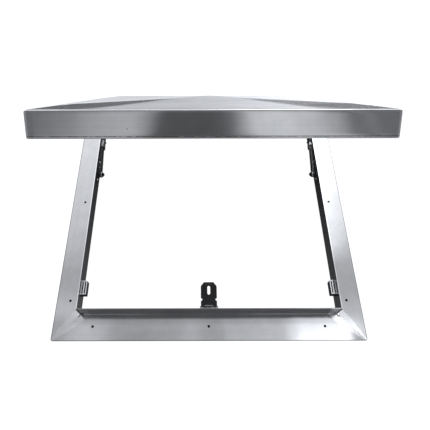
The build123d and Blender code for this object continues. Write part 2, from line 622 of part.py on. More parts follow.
def hatch():
    """Cut the rivets' holes in the sheets that they join, and write every node."""
    case, magnet, poles, catch_rivets = catch_pieces()
    plate, bush, washer, nut, bolt, base_rivets = stay_base()
    frame_leaf, lid_leaf, pin, flange_rivets, skirt_rivets = hinge_pieces()

    sides = frame_sides()
    beads = weld_beads(sides)
    sides["left"] = drill(sides["left"], catch_rivets + base_rivets)
    sides["right"] = drill(sides["right"], mirrored(catch_rivets + base_rivets))
    sides["rear"] = drill(sides["rear"], flange_rivets + mirrored(flange_rivets))
    for name, side in sides.items():
        save(f"frame_{name}", side)
    save("frame_weld_beads", *beads)
    save("latch_plate", latch_plate())

    save_pair("catch_{}_case", drill(case, catch_rivets))
    save_pair("catch_{}_magnet", magnet)
    save_pair("catch_{}_poles", *poles)
    save_pair("catch_{}_rivets", *catch_rivets)

    save_pair("stay_{}_base", drill(plate, base_rivets))
    save_pair("stay_{}_bush", bush)
    save_pair("stay_{}_washer", washer)
    save_pair("stay_{}_cap_nut", nut)
    save_pair("stay_{}_pivot_bolt", bolt)
    save_pair("stay_{}_base_rivets", *base_rivets)
    stay_pieces()

    save_pair("hinge_{}_frame_leaf", drill(frame_leaf, flange_rivets))
    save_pair("hinge_{}_lid_leaf", open_up(drill(lid_leaf, skirt_rivets)))
    save_pair("hinge_{}_pin", pin)
    save("hinge_frame_rivets", *flange_rivets, *mirrored(flange_rivets))
    save("hinge_lid_rivets", *[open_up(r) for r in skirt_rivets + mirrored(skirt_rivets)])

    pan = drill(lid_pan(), skirt_rivets + mirrored(skirt_rivets))
    save("lid_pan", *[open_up(quarter) for quarter in lid_quarters(pan)])
    save("lid_seal", open_up(lid_seal()))
    loop, base = lid_staple()
    save("lid_staple_loop", open_up(loop - base))
    save("lid_staple_base", open_up(base))
    save_pair("lid_{}_rib", open_up(lid_rib()))
    save_pair("catch_{}_keeper", open_up(catch_keeper()))
    save_pair("stay_{}_lid_bracket", open_up(stay_ear()))


hatch()
print("hinge axis", AXIS_Y, AXIS_Z)
print("stay pivot", STAY_PIVOT, "open", STAY_OPEN, STAY_OPEN_ANGLE, "closed", STAY_CLOSED, STAY_CLOSED_ANGLE)
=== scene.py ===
"""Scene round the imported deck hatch: materials, the folded lid, weld beads, light, floor and camera."""
import math

import bmesh
import bpy
from mathutils import Matrix, Vector


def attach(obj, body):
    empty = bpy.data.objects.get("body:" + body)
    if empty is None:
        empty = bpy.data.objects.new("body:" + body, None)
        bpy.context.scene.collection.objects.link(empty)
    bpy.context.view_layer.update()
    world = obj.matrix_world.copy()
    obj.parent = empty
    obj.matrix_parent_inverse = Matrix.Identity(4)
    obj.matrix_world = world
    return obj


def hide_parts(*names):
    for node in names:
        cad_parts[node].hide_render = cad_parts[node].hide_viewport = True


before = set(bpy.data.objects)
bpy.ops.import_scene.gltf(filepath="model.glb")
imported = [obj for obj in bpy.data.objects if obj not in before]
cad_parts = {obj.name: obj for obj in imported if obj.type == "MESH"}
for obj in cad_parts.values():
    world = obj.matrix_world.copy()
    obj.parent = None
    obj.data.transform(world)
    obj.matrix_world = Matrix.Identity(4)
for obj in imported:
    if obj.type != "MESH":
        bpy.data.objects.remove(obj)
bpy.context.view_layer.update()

CAMERA_PLACE = (-0.0252, -0.5462, 0.9832)
CAMERA_TURN = (29.801, 0.075, -0.109)
CAMERA_LENS = 34.86
CAMERA_SHIFT = (0.0407, -0.042)
SENSOR_WIDTH = 36.0

# The room's brightness by direction: points of (slope, brightness), joined by straight lines.
# FRONT_BANDS goes by side over distance in front, OVERHEAD_ACROSS by side over height, OVERHEAD_ALONG and
# BELOW by depth over height, and RIGHT_FAR by depth over height less RIGHT_FAR_SKEW times side over height.
FRONT_BANDS = (
    (-0.53, 0.20), (-0.40, 0.35), (-0.29, 0.55), (-0.20, 0.60), (-0.155, 0.36), (-0.115, 0.14),
    (-0.08, 0.115), (0.05, 0.115), (0.085, 0.145), (0.107, 0.21), (0.132, 0.34), (0.156, 0.53),
    (0.182, 0.77), (0.25, 0.85), (0.32, 0.78), (0.37, 0.70), (0.404, 0.61), (0.429, 0.50),
    (0.453, 0.38), (0.478, 0.24), (0.503, 0.14), (0.522, 0.30), (0.57, 0.20),
)
OVERHEAD_ACROSS = (
    (-0.40, 0.50), (-0.33, 0.46), (-0.275, 0.76), (-0.235, 0.70), (-0.19, 0.46), (-0.13, 0.43),
    (-0.06, 0.50), (-0.01, 0.66), (0.015, 0.48), (0.05, 0.48), (0.07, 0.76), (0.20, 0.86),
    (0.235, 2.3), (0.348, 2.3), (0.360, 0.64),
)
OVERHEAD_ALONG = (
    (-0.9, 0.30), (-0.3, 0.15), (0.0, 0.30), (0.15, 0.55), (0.26, 0.78), (0.31, 0.57), (0.36, 0.60),
    (0.415, 0.73), (0.53, 0.90), (0.66, 1.0), (0.85, 1.2), (1.05, 1.3), (1.1, 4.0), (1.6, 4.0),
    (1.65, 1.0), (5.0, 0.9),
)
RIGHT_FAR = ((-0.68, 0.0), (-0.64, 0.30), (-0.56, 0.36), (-0.50, 1.0))
BELOW = (
    (-3.0, 0.45), (-1.0, 0.18), (-0.3, 0.085), (0.0, 0.09), (0.35, 0.055), (0.65, 0.02), (0.90, 0.02),
    (0.97, 0.95), (1.15, 0.90), (1.25, 0.78), (1.385, 0.72), (1.43, 0.16), (2.8, 0.14), (3.3, 2.4),
    (4.5, 2.4), (6.5, 1.1),
)
RIGHT_FAR_SKEW = 3.0
RIGHT_FAR_SIDE = (0.10, 0.28)
RIGHT_FAR_DEPTH = (0.36, 0.43)
RIGHT_FAR_GAIN = 1.3
SLANT_DEPTH = (0.210, 0.260)
SLANT_SHIFT = 0.26
SLANT_START = (0.0, 0.1)
SLANT_END = (0.325, 0.350)
NEAR_WINDOW_START = (0.0, 0.12)
NEAR_WINDOW_END = (0.262, 0.225)
LOW_FRONT = (-2.2, -1.5, 0.4, 1.0)
LOW_FRONT_TONE = 0.30
FRONT_START = (-0.75, -1.0)
BELOW_SIDE = (-0.1, 0.5, 1.0, 1.6)
HORIZON = (-0.02, 0.02)
LEAST_HEIGHT = 0.02
LEAST_FORWARD = 0.05
COLD_LIGHT = (0.977, 1.0, 1.057, 1.0)

LID_HALF = 0.305
LID_LOW = 0.005
LID_RISE = 0.0135
LID_SHEET = 0.0015
FOLD_HEIGHT = 0.052
FOLD_RADIUS = 0.0024
FOLD_SINK = 0.00002
CORNER_RADIUS = 0.0025
POINT_RADIUS = 0.0002
HEM_HEIGHT = 0.008
HEM_TILT = 0.0002
HEM_LINE = 0.0042
HEM_GAP = 0.0009
HEM_STEP = 0.0004
HEM_LIP_DEPTH = 0.0001
HEM_LIP_HEIGHT = 0.0006
HEM_ROLL_TOP = 0.0018
HEM_ROLL_INSIDE = 0.004
WALL_BEND_DEPTH = 0.0002
WALL_BEND_HEIGHT = 0.0006
UNDERSIDE_MARGIN = 0.001
OPEN_ANGLE = 45.0
HINGE_LINE = (0.0, 0.311, 0.008)
SAG = 0.0005
CREASE_SOFT = 0.005
RIDGE_FADE = 0.060
RIDGE_LEFT = (0.065, 0.40, 0.060)
RIDGE_RIGHT = (0.060, 0.50, 0.045)
RIDGE_SIDE_SPREAD = 2.4
FACET_RINGS = 40
FOLD_RINGS = 6
SKIRT_RINGS = 8
SIDE_STEPS = 48
CORNER_STEPS = 5

FLANGE_HALF = 0.360
FLANGE_TOP = 0.002
UPSTAND_HALF = 0.300
UPSTAND_TOP = 0.047
SHEET = 0.002
HOLE_LINE = 0.328
HOLE_PITCH = 0.268
HOLE_SHADE = 0.0029
HOLE_SOFT = 0.0004
MITRE_PATCHES = 45.0
MITRE_WANDER = 0.016
MITRE_WIDTHS = (0.022, 0.004)
MITRE_END = 0.004
MITRE_SOFT = (0.011, 0.006)
MITRE_MIDDLE = 0.1
MITRE_LEFT = 0.3
FOOT_ZONE = (0.017, 0.028)
EDGE_ZONE = (0.0018, 0.0008)
EDGE_SHADE = 0.75
RIM_ZONE = (0.0006, 0.0002)

LID_CORNER_ZONE = (0.006, 0.002)
LID_CORNER_RIM = 0.3
LID_FACE_ZONE = (0.0012, 0.0008)
HEM_PATCHES = 170.0
HEM_WANDER = 0.0022
HEM_SHADOW_RISE = 0.0010
HEM_SHADOW_BAND = (0.0004, 0.0005)
HEM_BREAKS = (0.36, 0.50, 0.35, 1.0)
HEM_SHADE = 0.75
SPECK_CELLS = 24.0
SPECK_EDGE = (0.030, 0.018)
SPECK_CHOICE = (0.58, 0.60)
SPECK_SHADE = 0.7

SHEET_TONE = 0.44
CLOUD_TONE = 0.16
COARSE_TONE = 0.10
BLOTCH_TONE = 0.12
GROUND_TONE = 0.32
DARK_SHADE = 0.95
CLOUD_ROUGH = 0.06
FINE_ROUGH = 0.02
GROUND_ROUGH = 0.06
GRAIN_DEPTH = 0.00002
GRAIN_STRENGTH = 0.35
FINE_STREAKS = (14.0, 1700.0)
COARSE_STREAKS = (3.0, 260.0)
CLOUD_PATCHES = 9.0
BLOTCH_PATCHES = 38.0
SWELL_PATCHES = 11.0

CATCH_MIDDLE = (0.2925, -0.2445)
CATCH_TOP = 0.031
CATCH_TOP_ZONE = (0.0008, 0.0004)
CATCH_MAGNET_EDGE = (0.0018, 0.0014)
CATCH_CASE_EDGE = (0.0038, 0.0041)
CATCH_END_EDGE = (0.0143, 0.0147)
CATCH_SIDE_ZONE = (0.006, 0.0055)
CATCH_SHADE_TONES = (0.34, 0.015)

LATCH_FOOT = -0.298
LATCH_TIP = -0.2378
LATCH_WELD_ZONE = (0.0028, 0.0020)
LATCH_HIGHLIGHT_HALF = (0.0098, 0.0088)
LATCH_FOOT_BEND = LATCH_FOOT + 0.0058
LATCH_TIP_BEND = LATCH_TIP - 0.0048

WELD_FADE_ZONE = (0.006, 0.010)
BEAD_ROW = 0.0005
BEAD_PITCH = 0.0036
BEAD_STEPS = 8
BEAD_LEAST_ROWS = 8
BEAD_END = 0.1
# Half width, height and ripple of each kind of bead.
MITRE_BEAD = (0.0032, 0.0018, 0.2)
EDGE_BEAD = (0.0015, 0.0011, 0.3)
FOOT_BEAD = (0.0022, 0.0020, 0.3)
MITRE_BEAD_RUN = 0.006
FOOT_BEAD_RUN = 0.011
FOOT_BEAD_START = 0.001
EDGE_INSET = 0.0006

FLOOR_HALF = 40.0
FLOOR_DROP = 0.0005
DECK_SHADE_OUTER = 0.357
DECK_SHADE_INNER = 0.303


class Net:
    """A node tree with short calls for the few kinds of node that the materials and the world share."""

    def __init__(self, tree):
        self.tree = tree
        self.tree.nodes.clear()

    def node(self, kind, settings=None, **inputs):
        made = self.tree.nodes.new("ShaderNode" + kind)
        for name, value in (settings or {}).items():
            setattr(made, name, value)
        for name, value in inputs.items():
            self.feed(made.inputs[name.replace("_", " ")], value)
        return made

    def feed(self, socket, value):
        if isinstance(value, bpy.types.NodeSocket):
            self.tree.links.new(value, socket)
        else:
            socket.default_value = value

    def math(self, operation, first, second=0.0, third=0.0):
        made = self.node("Math", {"operation": operation})
        for socket, value in zip(made.inputs, (first, second, third)):
            self.feed(socket, value)
        return made.outputs[0]

    def rescale(self, value, low, high, to_low=0.0, to_high=1.0, smooth=False):
        made = self.node("MapRange", {"interpolation_type": "SMOOTHSTEP" if smooth else "LINEAR"})
        for socket, number in zip(made.inputs, (value, low, high, to_low, to_high)):
            self.feed(socket, number)
        return made.outputs[0]

    def curve(self, value, points):
        """A piecewise line through points of (value, result)."""
        low, high = points[0][0], points[-1][0]
        made = self.node("ValToRGB")
        self.feed(made.inputs[0], self.rescale(value, low, high))
        elements = made.color_ramp.elements
        for _ in points[2:]:
            elements.new(1.0)
        for element, (place, result) in zip(elements, points):
            element.position = (place - low) / (high - low)
            element.color = grey(result)
        return made.outputs[0]

    def blend(self, factor, first, second):
        made = self.node("Mix", {"data_type": "RGBA"})
        self.feed(made.inputs[0], factor)
        self.feed(made.inputs[6], first)
        self.feed(made.inputs[7], second)
        return made.outputs[2]


def grey(value):
    return (value, value, value, 1.0)


def streaks(net, place, axis, along, across):
    """Noise drawn out along X or Y: along and across are its features per metre."""
    scale = (along, across, across) if axis == "x" else (across, along, across)
    mapped = net.node("Mapping", Vector=place, Scale=scale)
    noise = net.node("TexNoise", Vector=mapped.outputs[0], Scale=1.0, Detail=4.0, Roughness=0.6)
    return noise.outputs[0]


def plain_colour(net, tone):
    return net.node("CombineColor", Red=tone, Green=tone, Blue=tone).outputs[0]


def new_material(name):
    """An empty material, its net and its object coordinates."""
    material = bpy.data.materials.new(name)
    material.use_nodes = True
    net = Net(material.node_tree)
    return material, net, net.node("TexCoord").outputs["Object"]


def finish_metal(net, tone, height, strength, distance, **settings):
    """Ends a material in a shader of one tone, bumped by the height."""
    bump = net.node("Bump", Height=height, Strength=strength, Distance=distance)
    colour = plain_colour(net, tone)
    shader = net.node("BsdfPrincipled", Base_Color=colour, Normal=bump.outputs[0], **settings)
    net.node("OutputMaterial", Surface=shader.outputs[0])


def below(net, value, top, zone):
    """Zero up to the zone's first depth under the top, and one from its second."""
    return net.rescale(value, top - zone[0], top - zone[1])


def near(net, value, middle, reach, soft):
    """One where the value is within reach of the middle, falling to zero over the soft margin."""
    away = net.math("ABSOLUTE", net.math("SUBTRACT", value, middle))
    return net.rescale(away, reach + soft, reach, smooth=True)


def frame_marks(net, place, foot_shade):
    """Masks of the ground mitres, the upstand's painted top edge line, and painted shade: foot, fixing holes,
    outer edge.
    """
    x, y, z = net.node("SeparateXYZ", Vector=place).outputs
    wide, deep = net.math("ABSOLUTE", x), net.math("ABSOLUTE", y)
    far, close = net.math("MAXIMUM", wide, deep), net.math("MINIMUM", wide, deep)
    away = net.math("SUBTRACT", far, close)
    outside = net.rescale(far, UPSTAND_HALF - SHEET, UPSTAND_HALF)
    wander = net.node("TexNoise", Vector=place, Scale=MITRE_PATCHES, Detail=2.0).outputs[0]
    ragged = net.math("MULTIPLY_ADD", wander, MITRE_WANDER, away)
    fan = net.rescale(close, UPSTAND_HALF, FLANGE_HALF - MITRE_END, *MITRE_WIDTHS)
    ground = net.rescale(net.math("SUBTRACT", ragged, fan), *MITRE_SOFT, smooth=True)
    ground = net.math("MULTIPLY", ground, outside)
    ground = net.math("MULTIPLY", ground, net.rescale(x, -MITRE_MIDDLE, MITRE_MIDDLE, MITRE_LEFT, 1.0))
    # The upstand's top edge, tinted by rim_tone: a painted highlight on the side frames, a painted dark line
    # on the front and back.
    rim = below(net, z, UPSTAND_TOP, RIM_ZONE)
    # Painted shade on the upstand and along its foot, fading out across the flange.
    foot_start, foot_end = (UPSTAND_HALF + reach for reach in FOOT_ZONE)
    painted_foot_shade = net.rescale(far, foot_start, foot_end, foot_shade, 0.0, smooth=True)
    # Painted shadow in and round each fixing hole.
    across = net.math("SUBTRACT", far, HOLE_LINE)
    along = net.math("MINIMUM", net.math("ABSOLUTE", net.math("SUBTRACT", close, HOLE_PITCH)), close)
    squares = [net.math("MULTIPLY", part, part) for part in (across, along)]
    painted_hole_shadow = net.math("SQRT", net.math("ADD", *squares))
    painted_hole_shadow = net.rescale(painted_hole_shadow, HOLE_SHADE + HOLE_SOFT, HOLE_SHADE)
    # Painted shade: a thin dark line along the flange's outer edge.
    edge = net.math("MULTIPLY", below(net, far, FLANGE_HALF, EDGE_ZONE), EDGE_SHADE)
    dark = net.math("MAXIMUM", net.math("MAXIMUM", painted_foot_shade, painted_hole_shadow), edge)
    return ground, rim, dark


def lid_marks(net, place):
    """Masks of the ground corner welds, full and faint, of a ragged painted shadow line above the hem, and of
    a few specks.
    """
    x, y, z = net.node("SeparateXYZ", Vector=place).outputs
    wide, deep = net.math("ABSOLUTE", x), net.math("ABSOLUTE", y)
    corner_start, corner_end = (LID_HALF - inset for inset in LID_CORNER_ZONE)
    corner = net.math("MULTIPLY", net.rescale(wide, corner_start, corner_end, smooth=True),
                      net.rescale(deep, corner_start, corner_end, smooth=True))
    outside = below(net, net.math("MAXIMUM", wide, deep), LID_HALF, LID_FACE_ZONE)
    # A ragged painted shadow line on the skirt, just above the hem's edge.
    ragged = net.node("TexNoise", Vector=place, Scale=HEM_PATCHES, Detail=3.0).outputs[0]
    line_height = net.math("MULTIPLY_ADD", ragged, HEM_WANDER, z)
    hem_shadow_height = LID_LOW + HEM_LINE + HEM_SHADOW_RISE
    line = net.math("MULTIPLY", near(net, line_height, hem_shadow_height, *HEM_SHADOW_BAND), outside)
    line = net.math("MULTIPLY", line, net.rescale(ragged, *HEM_BREAKS, smooth=True))
    cells = net.node("TexVoronoi", Vector=place, Scale=SPECK_CELLS)
    chosen = net.node("SeparateColor", Color=cells.outputs["Color"]).outputs[0]
    speck = net.math("MULTIPLY", net.rescale(cells.outputs["Distance"], *SPECK_EDGE),
                     net.rescale(chosen, *SPECK_CHOICE))
    rim = net.math("MULTIPLY", corner, LID_CORNER_RIM)
    dark = net.math("MAXIMUM", net.math("MULTIPLY", line, HEM_SHADE),
                    net.math("MULTIPLY", speck, SPECK_SHADE))
    return corner, rim, dark


def closed_place(net, place):
    """Object coordinates, turned back to where they are on the closed lid."""
    turned = net.node("VectorRotate", {"rotation_type": "X_AXIS"}, Vector=place, Center=HINGE_LINE,
                      Angle=math.radians(OPEN_ANGLE))
    return turned.outputs[0]


def lid_grain(net, place):
    """Direction and coordinates of the grain, which runs along X, and along the skirt on its two sides."""
    normal = net.node("SeparateXYZ", Vector=net.node("TexCoord").outputs["Normal"]).outputs
    on_side = net.rescale(net.math("ABSOLUTE", normal[0]), 0.6, 0.8)
    slant = (0.0, math.cos(math.radians(OPEN_ANGLE)), -math.sin(math.radians(OPEN_ANGLE)))
    x, y, z = net.node("SeparateXYZ", Vector=place).outputs
    swapped = net.node("CombineXYZ", X=y, Y=x, Z=z).outputs[0]
    mixed = []
    for first, second in (((1.0, 0.0, 0.0), slant), (place, swapped)):
        mix = net.node("Mix", {"data_type": "VECTOR"})
        for socket, value in zip((mix.inputs[0], mix.inputs[4], mix.inputs[5]), (on_side, first, second)):
            net.feed(socket, value)
        mixed.append(mix.outputs[1])
    spaces = {"vector_type": "VECTOR", "convert_from": "OBJECT", "convert_to": "WORLD"}
    tangent = net.node("VectorTransform", spaces, Vector=mixed[0])
    return tangent.outputs[0], mixed[1]


def brushed(name, axis, rough, drawn=1.0, wave=0.0002, rim_tone=0.34, foot_shade=0.0, lid=False):
    """Brushed stainless sheet, grained along one axis, a little wavy, with ground welds, specks, painted
    shade and painted edge lines.
    """
    material, net, place = new_material(name)
    if lid:
        place = closed_place(net, place)
        ground, rim, dark = lid_marks(net, place)
        tangent, drawn_place = lid_grain(net, place)
    else:
        ground, rim, dark = frame_marks(net, place, foot_shade)
        tangent = net.node("CombineXYZ", X=float(axis == "x"), Y=float(axis == "y")).outputs[0]
        drawn_place = place
    fine = streaks(net, drawn_place, axis, *FINE_STREAKS)
    coarse = streaks(net, drawn_place, axis, *COARSE_STREAKS)
    cloud = net.node("TexNoise", Vector=place, Scale=CLOUD_PATCHES, Detail=4.0, Roughness=0.6).outputs[0]
    blotch = net.node("TexNoise", Vector=place, Scale=BLOTCH_PATCHES, Detail=3.0, Roughness=0.6).outputs[0]
    tone = SHEET_TONE
    layers = ((cloud, CLOUD_TONE), (coarse, COARSE_TONE), (blotch, BLOTCH_TONE), (ground, GROUND_TONE),
              (rim, rim_tone))
    for mask, amount in layers:
        tone = net.math("MULTIPLY_ADD", mask, amount, tone)
    # Darkened by the dark mask: painted shade on the frame and along the lid's hem, real specks on the lid.
    tone = net.math("MULTIPLY", tone, net.math("SUBTRACT", 1.0, net.math("MULTIPLY", dark, DARK_SHADE)))
    roughness = rough - CLOUD_ROUGH / 2
    for mask, amount in ((cloud, CLOUD_ROUGH), (fine, FINE_ROUGH), (ground, GROUND_ROUGH)):
        roughness = net.math("MULTIPLY_ADD", mask, amount, roughness)
    swell = net.node("TexNoise", Vector=place, Scale=SWELL_PATCHES, Detail=1.0).outputs[0]
    wavy = net.node("Bump", Height=swell, Strength=1.0, Distance=wave)
    height = net.math("ADD", net.math("MULTIPLY", fine, 0.5), net.math("MULTIPLY", coarse, 0.5))
    bump = net.node("Bump", Height=height, Strength=GRAIN_STRENGTH, Distance=GRAIN_DEPTH,
                    Normal=wavy.outputs[0])
    shader = net.node("BsdfPrincipled", Base_Color=plain_colour(net, tone), Metallic=1.0, Roughness=roughness,
                      Normal=bump.outputs[0], Tangent=tangent, Anisotropic=drawn, Anisotropic_Rotation=0.25)
    net.node("OutputMaterial", Surface=shader.outputs[0])
    return material


def catch_metal(name):
    """Plated catch, full tone round its open top; below it painted shade: grey facing the opening, black in
    the gaps.
    """
    material, net, place = new_material(name)
    x, y, z = net.node("SeparateXYZ", Vector=place).outputs
    wide = net.math("ABSOLUTE", x)
    from_middle = net.math("ABSOLUTE", net.math("SUBTRACT", wide, CATCH_MIDDLE[0]))
    from_centre = net.math("ABSOLUTE", net.math("SUBTRACT", y, CATCH_MIDDLE[1]))
    bright = net.math("MAXIMUM", net.rescale(from_middle, *CATCH_MAGNET_EDGE),
                      net.rescale(from_middle, *CATCH_CASE_EDGE))
    bright = net.math("MAXIMUM", bright, net.rescale(from_centre, *CATCH_END_EDGE))
    rim = net.math("MULTIPLY", below(net, z, CATCH_TOP, CATCH_TOP_ZONE), bright)
    # Painted shade below the top: grey on the side facing the opening, near black elsewhere.
    side_start, side_end = (CATCH_MIDDLE[0] - reach for reach in CATCH_SIDE_ZONE)
    painted_shade_tone = net.rescale(wide, side_start, side_end, *CATCH_SHADE_TONES)
    grainy = net.node("TexNoise", Vector=place, Scale=500.0, Detail=3.0).outputs[0]
    tone = net.math("MULTIPLY_ADD", rim, net.math("SUBTRACT", 1.0, painted_shade_tone), painted_shade_tone)
    tone = net.math("MULTIPLY", tone, net.rescale(grainy, 0.3, 0.7, 0.95, 1.0))
    roughness = net.rescale(rim, 0.0, 1.0, 0.35, 0.30)
    finish_metal(net, tone, grainy, 0.3, 0.00005, Metallic=1.0, Roughness=roughness)
    return material


def latch_paint(name):
    """Black latch plate with a bright ragged weld at its foot and painted highlights as bright metal along
    its two bends.
    """
    material, net, place = new_material(name)
    x, y = net.node("SeparateXYZ", Vector=place).outputs[:2]
    grainy = net.node("TexNoise", Vector=place, Scale=420.0, Detail=3.0).outputs[0]
    weld_end, weld_start = (LATCH_FOOT + reach for reach in LATCH_WELD_ZONE)
    weld = net.math("MULTIPLY", net.rescale(y, weld_end, weld_start), net.rescale(grainy, 0.40, 0.52))
    # Painted highlights along the two bends, as bare metal strips across the middle of the plate.
    middle = net.rescale(net.math("ABSOLUTE", x), *LATCH_HIGHLIGHT_HALF)
    foot_bend = net.math("MULTIPLY", near(net, y, LATCH_FOOT_BEND, 0.0004, 0.0004), 0.75)
    tip_bend = net.math("MULTIPLY", near(net, y, LATCH_TIP_BEND, 0.0003, 0.0004), 0.20)
    bend_highlights = net.math("MAXIMUM", foot_bend, tip_bend)
    weld_and_bend_highlights = net.math("MAXIMUM", weld, net.math("MULTIPLY", bend_highlights, middle))
    tone = net.rescale(weld_and_bend_highlights, 0.0, 1.0, 0.012, 0.85)
    finish_metal(net, tone, grainy, 0.4, 0.0001, Metallic=weld_and_bend_highlights, Roughness=0.42)
    return material


def weld_metal(name):
    """Weld metal in bright and dark patches near the flange, and darker higher up."""
    material, net, place = new_material(name)
    patch = net.node("TexNoise", Vector=place, Scale=330.0, Detail=2.0).outputs[0]
    height = net.node("SeparateXYZ", Vector=place).outputs[2]
    fade_start, dark_start = (FLANGE_TOP + reach for reach in WELD_FADE_ZONE)
    height_fade = net.rescale(height, fade_start, dark_start, 1.0, 0.04)
    tone = net.math("MULTIPLY", net.rescale(patch, 0.42, 0.54, 0.03, 1.0, smooth=True), height_fade)
    finish_metal(net, tone, patch, 0.7, 0.0006, Metallic=1.0, Roughness=0.35)
    return material


def worn_metal(name):
    """Dark oiled steel with bright rubbed patches."""
    material, net, place = new_material(name)
    patch = net.node("TexNoise", Vector=place, Scale=110.0, Detail=2.0).outputs[0]
    rubbed = net.rescale(patch, 0.46, 0.58, smooth=True)
    tone = net.rescale(rubbed, 0.0, 1.0, 0.06, 0.85)
    finish_metal(net, tone, patch, 0.3, 0.0003, Metallic=1.0, Roughness=0.3)
    return material


def plain_metal(name, base, rough, metallic=1.0):
    """One tone with a faint cloud in it and a fine grain."""
    material, net, place = new_material(name)
    grainy = net.node("TexNoise", Vector=place, Scale=900.0, Detail=3.0).outputs[0]
    cloud = net.node("TexNoise", Vector=place, Scale=60.0, Detail=3.0).outputs[0]
    tone = net.math("MULTIPLY_ADD", cloud, base * 0.3, base * 0.85)
    roughness = net.math("MULTIPLY_ADD", cloud, 0.15, rough - 0.07)
    finish_metal(net, tone, grainy, 0.4, 0.0001, Metallic=metallic, Roughness=roughness)
    return material


def dress(node, material):
    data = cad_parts[node].data
    data.materials.clear()
    data.materials.append(material)


def opened(point):
    """Turns a point of the closed lid about the hinge axis to where the lid stands at rest."""
    hinge = Vector(HINGE_LINE)
    turn = Matrix.Rotation(math.radians(-OPEN_ANGLE), 3, "X")
    return hinge + turn @ (Vector(point) - hinge)


def ridge_height(x, far, close, on_front, half):
    """A low tent over each crease: narrow near the middle, wide at the corner, flatter on the side facets."""
    start, spread, steep = RIDGE_LEFT if x < 0 else RIDGE_RIGHT
    width = spread * (far - start)
    if width <= 0.0:
        return 0.0
    rise = steep * width * min(1.0, (half - far) / RIDGE_FADE)
    if not on_front:
        width *= RIDGE_SIDE_SPREAD
    return rise * max(0.0, 1.0 - (far - close) / width)


def lid_height(x, y, half):
    """Height of the sheet over the square: four facets that hang a little between four soft ridges."""
    a, b = abs(x), abs(y)
    soft = math.sqrt((a - b) ** 2 + CREASE_SOFT ** 2)
    far = min((a + b + soft) / 2, half)
    close = max((a + b - soft) / 2, 0.0)
    share = far / half
    flat = LID_RISE * (1.0 - share)
    hang = SAG * math.sin(math.pi * share) * (1.0 - (close / max(far, 1e-6)) ** 2)
    return FOLD_HEIGHT + flat - hang + ridge_height(x, far, close, b > a, half)


def square_ring(half, radius):
    """Points round a square with rounded corners, the same count for every size."""
    points = []
    run = half - radius
    for quarter in range(4):
        turn = Matrix.Rotation(math.pi / 2 * quarter, 2)
        for step in range(SIDE_STEPS):
            points.append(turn @ Vector((-run + 2 * run * step / SIDE_STEPS, -half)))
        for step in range(CORNER_STEPS):
            angle = -math.pi / 2 + math.pi / 2 * step / CORNER_STEPS
            points.append(turn @ Vector((run + radius * math.cos(angle), -run + radius * math.sin(angle))))
    return points


def fold_rings(cap):
    """The round fold between the facets and the skirt."""
    rings = []
    for step in range(1, FOLD_RINGS + 1):
        angle = math.pi / 2 * step / FOLD_RINGS
        half = cap + FOLD_RADIUS * math.sin(angle)
        radius = CORNER_RADIUS * math.sin(angle) + POINT_RADIUS
        height = FOLD_HEIGHT - FOLD_RADIUS * (1 - math.cos(angle)) - FOLD_SINK
        rings.append((half, radius, height, 0.0))
    return rings


def hem_rings(line):
    """The hem from its line on the skirt, round its roll and up its inside to its top edge."""
    outer = LID_HALF - HEM_TILT
    roll = 2 * LID_SHEET - HEM_GAP
    inner = LID_HALF - 2 * LID_SHEET
    low = LID_LOW + HEM_HEIGHT
    places = [(LID_HALF - HEM_LIP_DEPTH, line - HEM_LIP_HEIGHT), (outer, LID_LOW + HEM_ROLL_TOP)]
    for step in range(1, FOLD_RINGS + 1):
        angle = math.pi * step / FOLD_RINGS
        places.append((outer - roll / 2 * (1 - math.cos(angle)), LID_LOW + LID_SHEET * (1 - math.sin(angle))))
    places.append((inner, LID_LOW + HEM_ROLL_INSIDE))
    places.append((inner, low - HEM_STEP))
    places.append((inner + HEM_STEP, low))
    return [(half, CORNER_RADIUS, height, 0.0) for half, height in places]


def lid_rings():
    """Rings of (half width, corner radius, height or None for the sheet's own height, drop)."""
    cap = LID_HALF - FOLD_RADIUS
    low = LID_LOW + HEM_HEIGHT
    line = LID_LOW + HEM_LINE
    wall = LID_HALF - LID_SHEET
    rings = [(cap * step / FACET_RINGS, POINT_RADIUS, None, 0.0) for step in range(1, FACET_RINGS + 1)]
    rings += fold_rings(cap)
    for step in range(1, SKIRT_RINGS + 1):
        height = FOLD_HEIGHT - FOLD_RADIUS + (line - FOLD_HEIGHT + FOLD_RADIUS) * step / SKIRT_RINGS
        rings.append((LID_HALF, CORNER_RADIUS, height, 0.0))
    rings += hem_rings(line)
    rings.append((wall - WALL_BEND_DEPTH, CORNER_RADIUS, low, 0.0))
    rings.append((wall, CORNER_RADIUS, low + WALL_BEND_HEIGHT, 0.0))
    rings.append((wall, CORNER_RADIUS, FOLD_HEIGHT - LID_SHEET - UNDERSIDE_MARGIN, 0.0))
    for step in range(FACET_RINGS, 0, -1):
        half = (wall - UNDERSIDE_MARGIN) * step / FACET_RINGS
        rings.append((half, POINT_RADIUS, None, LID_SHEET))
    return rings


def add_object(mesh, name, material):
    """Turns a finished bmesh into a smooth object of one material."""
    bmesh.ops.recalc_face_normals(mesh, faces=mesh.faces)
    data = bpy.data.meshes.new(name)
    mesh.to_mesh(data)
    mesh.free()
    data.shade_smooth()
    data.materials.append(material)
    made = bpy.data.objects.new(name, data)
    bpy.context.scene.collection.objects.link(made)
    return made


